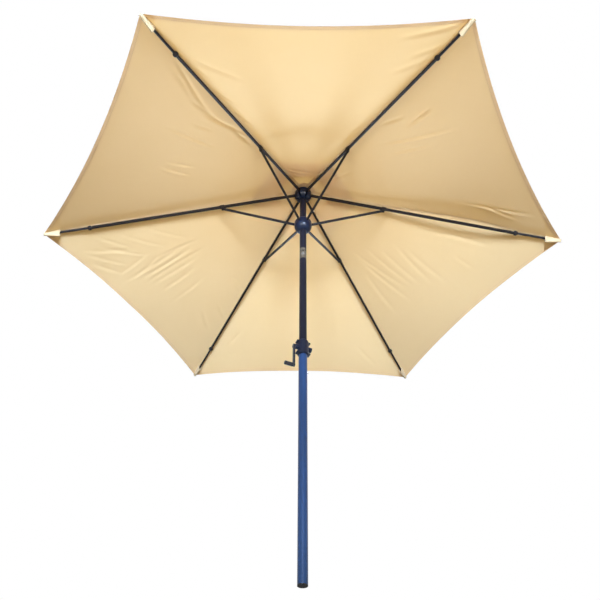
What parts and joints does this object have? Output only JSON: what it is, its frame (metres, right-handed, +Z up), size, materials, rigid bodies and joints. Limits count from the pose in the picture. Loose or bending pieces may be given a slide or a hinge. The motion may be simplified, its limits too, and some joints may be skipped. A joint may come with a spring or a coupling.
{
  "type": "patio umbrella",
  "caption": "Patio umbrella with a crank lift that folds its ribs and struts, a push-button tilt joint, a vented tan canopy and a plain steel pole whose foot goes into a base.",
  "frame": {"origin": "middle of the pole's foot, at the bottom", "axes": "+Z up the pole, +X along a rib"},
  "size_m": [2.7, 2.3472, 2.2775],
  "materials": {
    "pole_blue": "powder coat",
    "pole_dark": "powder coat",
    "rib_brown": "powder coat",
    "crank_dark": "powder coat",
    "plastic_navy": "satin",
    "plug_black": "satin",
    "tilt_grey": "cast",
    "bare_steel": "bright",
    "canopy_tan": "woven polyester"
  },
  "bodies": {
    "stand": {"foot_plug": "plug_black", "lower_pole": "pole_blue", "mid_pole": "pole_blue", "snap_spring": "bare_steel", "tilt_fork": "tilt_grey", "tilt_pin": "bare_steel", "housing_front": "plastic_navy", "housing_back": "plastic_navy", "housing_screws": "bare_steel"},
    "upper": {"upper_pole": "pole_dark", "tilt_tongue": "tilt_grey", "tilt_spring": "bare_steel", "top_hub": "plastic_navy", "hub_pins": "bare_steel", "finial": "plastic_navy", "vent_cap": "canopy_tan"},
    "runner": {"runner": "plastic_navy", "runner_pins": "bare_steel"},
    "crank": {"crank_spool": "bare_steel", "crank_arm": "crank_dark"},
    "knob": {"crank_knob": "plastic_navy"},
    "tilt_button": {"tilt_button": "plastic_navy"},
    "snap_button": {"snap_button": "bare_steel"},
    "pulley": {"pulley": "plastic_navy"},
    "rib_1": {"rib_1": "rib_brown", "rib_end_1": "plug_black", "rib_bracket_1": "rib_brown", "canopy_left_1": "canopy_tan", "canopy_right_1": "canopy_tan"},
    "strut_1": {"strut_1": "rib_brown"},
    "rib_2": {"rib_2": "rib_brown", "rib_end_2": "plug_black", "rib_bracket_2": "rib_brown", "canopy_left_2": "canopy_tan", "canopy_right_2": "canopy_tan"},
    "strut_2": {"strut_2": "rib_brown"},
    "rib_3": {"rib_3": "rib_brown", "rib_end_3": "plug_black", "rib_bracket_3": "rib_brown", "canopy_left_3": "canopy_tan", "canopy_right_3": "canopy_tan"},
    "strut_3": {"strut_3": "rib_brown"},
    "rib_4": {"rib_4": "rib_brown", "rib_end_4": "plug_black", "rib_bracket_4": "rib_brown", "canopy_left_4": "canopy_tan", "canopy_right_4": "canopy_tan"},
    "strut_4": {"strut_4": "rib_brown"},
    "rib_5": {"rib_5": "rib_brown", "rib_end_5": "plug_black", "rib_bracket_5": "rib_brown", "canopy_left_5": "canopy_tan", "canopy_right_5": "canopy_tan"},
    "strut_5": {"strut_5": "rib_brown"},
    "rib_6": {"rib_6": "rib_brown", "rib_end_6": "plug_black", "rib_bracket_6": "rib_brown", "canopy_left_6": "canopy_tan", "canopy_right_6": "canopy_tan"},
    "strut_6": {"strut_6": "rib_brown"}
  },
  "joints": [
    {"name": "tilt", "type": "hinge", "parent": "stand", "child": "upper", "pos_m": [0, 0, 1.687], "axis": [1, 0, 0], "range_deg": [-35, 0]},
    {"name": "tilt_press", "type": "slide", "parent": "upper", "child": "tilt_button", "axis": [0, 1, 0], "range_m": [0, 0.003], "stiffness_N_per_m": 600, "springref_m": -0.002, "deforming": ["tilt_spring"]},
    {"name": "snap_press", "type": "slide", "parent": "stand", "child": "snap_button", "axis": [-1, 0, 0], "range_m": [0, 0.005], "stiffness_N_per_m": 800, "springref_m": -0.002, "deforming": ["snap_spring"]},
    {"name": "crank_turn", "type": "hinge", "parent": "stand", "child": "crank", "pos_m": [0, 0, 1.061], "axis": [-0.9205, -0.3907, 0], "range_deg": [0, 3780]},
    {"name": "knob_spin", "type": "hinge", "parent": "crank", "child": "knob", "pos_m": [-0.06167, -0.02618, 0.953], "axis": [-0.9205, -0.3907, 0], "continuous": true},
    {"name": "pulley_spin", "type": "hinge", "parent": "upper", "child": "pulley", "pos_m": [0, 0.005, 2.12], "axis": [1, 0, 0], "range_deg": [0, 3672]},
    {"name": "fold", "type": "hinge", "parent": "upper", "child": "rib_1", "pos_m": [0.031, 0, 2.18], "axis": [0, 1, 0], "range_deg": [0, 68], "deforming": ["vent_cap", "canopy_left_1", "canopy_right_1", "canopy_left_2", "canopy_right_2", "canopy_left_3", "canopy_right_3", "canopy_left_4", "canopy_right_4", "canopy_left_5", "canopy_right_5", "canopy_left_6", "canopy_right_6"]},
    {"name": "strut_swing_1", "type": "hinge", "parent": "rib_1", "child": "strut_1", "pos_m": [0.437, 0, 2.05003], "axis": [0, 1, 0], "range_deg": [-136, 0]},
    {"name": "fold_2", "type": "hinge", "parent": "upper", "child": "rib_2", "pos_m": [0.0155, 0.02685, 2.18], "axis": [-0.866, 0.5, 0], "range_deg": [0, 68]},
    {"name": "strut_swing_2", "type": "hinge", "parent": "rib_2", "child": "strut_2", "pos_m": [0.2185, 0.37846, 2.05003], "axis": [-0.866, 0.5, 0], "range_deg": [-136, 0]},
    {"name": "fold_3", "type": "hinge", "parent": "upper", "child": "rib_3", "pos_m": [-0.0155, 0.02685, 2.18], "axis": [-0.866, -0.5, 0], "range_deg": [0, 68]},
    {"name": "strut_swing_3", "type": "hinge", "parent": "rib_3", "child": "strut_3", "pos_m": [-0.2185, 0.37846, 2.05003], "axis": [-0.866, -0.5, 0], "range_deg": [-136, 0]},
    {"name": "fold_4", "type": "hinge", "parent": "upper", "child": "rib_4", "pos_m": [-0.031, 0, 2.18], "axis": [0, -1, 0], "range_deg": [0, 68]},
    {"name": "strut_swing_4", "type": "hinge", "parent": "rib_4", "child": "strut_4", "pos_m": [-0.437, 0, 2.05003], "axis": [0, -1, 0], "range_deg": [-136, 0]},
    {"name": "fold_5", "type": "hinge", "parent": "upper", "child": "rib_5", "pos_m": [-0.0155, -0.02685, 2.18], "axis": [0.866, -0.5, 0], "range_deg": [0, 68]},
    {"name": "strut_swing_5", "type": "hinge", "parent": "rib_5", "child": "strut_5", "pos_m": [-0.2185, -0.37846, 2.05003], "axis": [0.866, -0.5, 0], "range_deg": [-136, 0]},
    {"name": "fold_6", "type": "hinge", "parent": "upper", "child": "rib_6", "pos_m": [0.0155, -0.02685, 2.18], "axis": [0.866, 0.5, 0], "range_deg": [0, 68]},
    {"name": "strut_swing_6", "type": "hinge", "parent": "rib_6", "child": "strut_6", "pos_m": [0.2185, -0.37846, 2.05003], "axis": [0.866, 0.5, 0], "range_deg": [-136, 0]},
    {"name": "runner_hang", "type": "hinge", "parent": "strut_1", "child": "runner", "pos_m": [0.031, 0, 1.92006], "axis": [0, 1, 0], "range_deg": [0, 68]}
  ],
  "couplings": [
    {"joint": "crank_turn", "follows": "fold", "ratio": 55.588},
    {"joint": "pulley_spin", "follows": "fold", "ratio": 54},
    {"joint": "strut_swing_1", "follows": "fold", "ratio": -2},
    {"joint": "fold_2", "follows": "fold", "ratio": 1},
    {"joint": "strut_swing_2", "follows": "fold", "ratio": -2},
    {"joint": "fold_3", "follows": "fold", "ratio": 1},
    {"joint": "strut_swing_3", "follows": "fold", "ratio": -2},
    {"joint": "fold_4", "follows": "fold", "ratio": 1},
    {"joint": "strut_swing_4", "follows": "fold", "ratio": -2},
    {"joint": "fold_5", "follows": "fold", "ratio": 1},
    {"joint": "strut_swing_5", "follows": "fold", "ratio": -2},
    {"joint": "fold_6", "follows": "fold", "ratio": 1},
    {"joint": "strut_swing_6", "follows": "fold", "ratio": -2},
    {"joint": "runner_hang", "follows": "fold", "ratio": 1}
  ]
}
